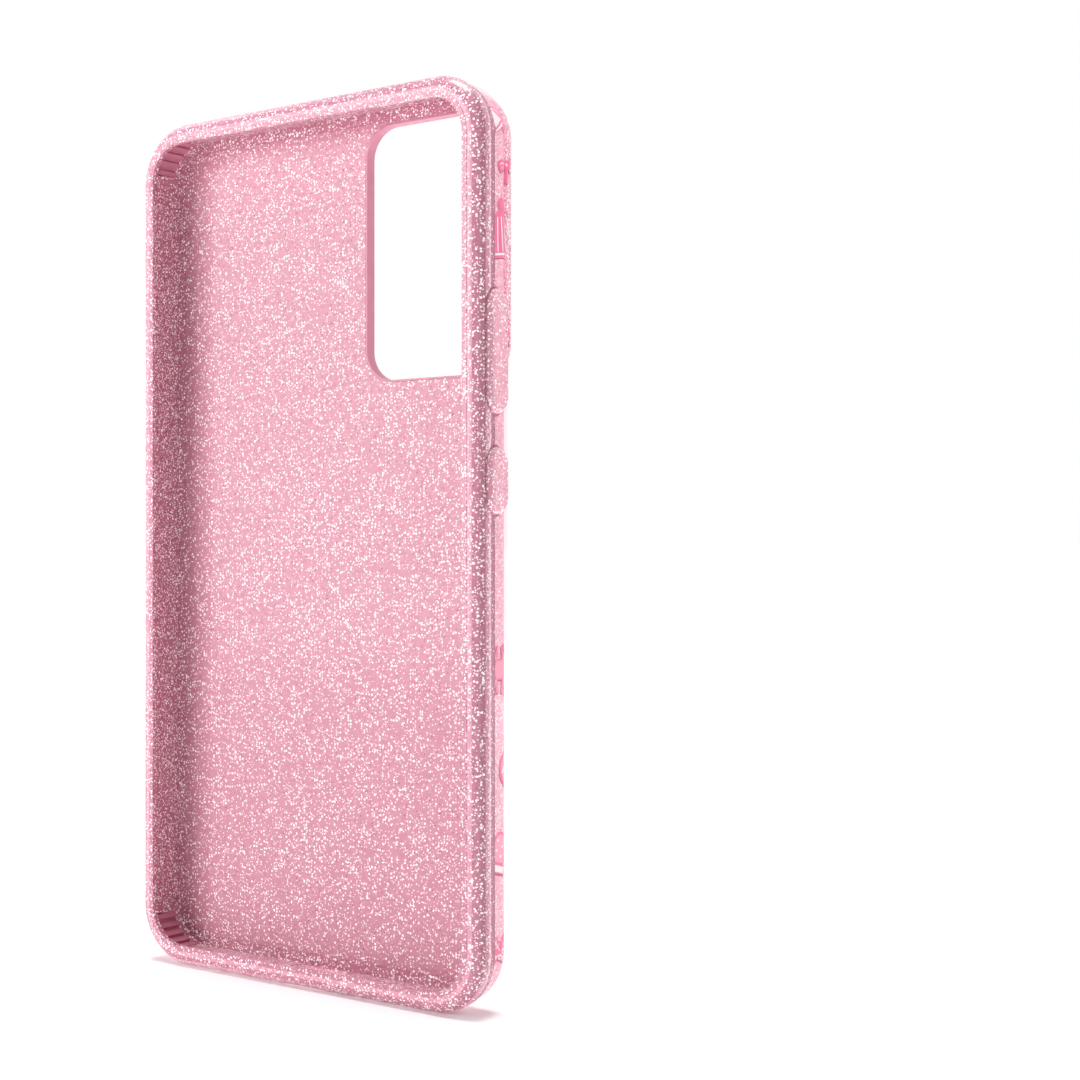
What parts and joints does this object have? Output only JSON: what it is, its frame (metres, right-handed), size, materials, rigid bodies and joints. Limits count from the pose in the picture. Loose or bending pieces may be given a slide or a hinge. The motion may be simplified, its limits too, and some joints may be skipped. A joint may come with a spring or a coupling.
{
  "type": "phone case",
  "caption": "Protective phone case: soft glitter frame with a raised lip, printed back under a clear hard shell, camera guard, rocking volume pad and press-in power pad.",
  "frame": {"origin": "middle of the bottom edge: on the case's centre line in X and at half its thickness in Y, at the lowest point in Z", "axes": "+Z to the top of the phone, -Y out of the screen opening, +X towards the side with the keys; the camera opening is at the back in the top corner on the +X side"},
  "size_m": [0.0817, 0.0115, 0.1626],
  "materials": {
    "glitter_frame": "glossy soft plastic, pink with white glitter",
    "glitter_panel": "satin hard plastic, pink with white glitter",
    "glitter_film": "pink film with dense white glitter",
    "ink_pink": "hot pink ink",
    "ink_white": "white ink",
    "clear_shell": "clear hard plastic, polished",
    "glitter_rim": "glossy soft plastic, pink with white glitter",
    "soft_pink": "satin soft plastic, plain pink",
    "mark": "raised mark, deeper pink",
    "key_pad": "glossy firm plastic, pink with white glitter",
    "key_web": "thin flexible ring, plain pink"
  },
  "bodies": {
    "case": {"bumper_frame": "glitter_frame", "back_panel": "glitter_panel", "glitter_film": "glitter_film", "print_pink": "ink_pink", "print_white": "ink_white", "clear_shell": "clear_shell", "camera_rim": "glitter_rim", "camera_liner": "soft_pink", "side_mark": "mark", "corner_cushion_top_left": "soft_pink", "corner_cushion_top_right": "soft_pink", "corner_cushion_bottom_left": "soft_pink", "corner_cushion_bottom_right": "soft_pink", "volume_web": "key_web", "power_web": "key_web"},
    "volume_rocker": {"volume_key": "key_pad", "volume_up_plunger": "soft_pink", "volume_down_plunger": "soft_pink"},
    "power_button": {"power_key": "key_pad", "power_plunger": "soft_pink"}
  },
  "joints": [
    {"name": "volume_rock", "type": "hinge", "parent": "case", "child": "volume_rocker", "pos_m": [0.0395, 0, 0.1144], "axis": [0, 1, 0], "range_deg": [-1.6, 1.6], "stiffness_Nm_per_rad": 0.3},
    {"name": "power_press", "type": "slide", "parent": "case", "child": "power_button", "axis": [-1, 0, 0], "range_m": [0, 0.00035], "stiffness_N_per_m": 800}
  ]
}
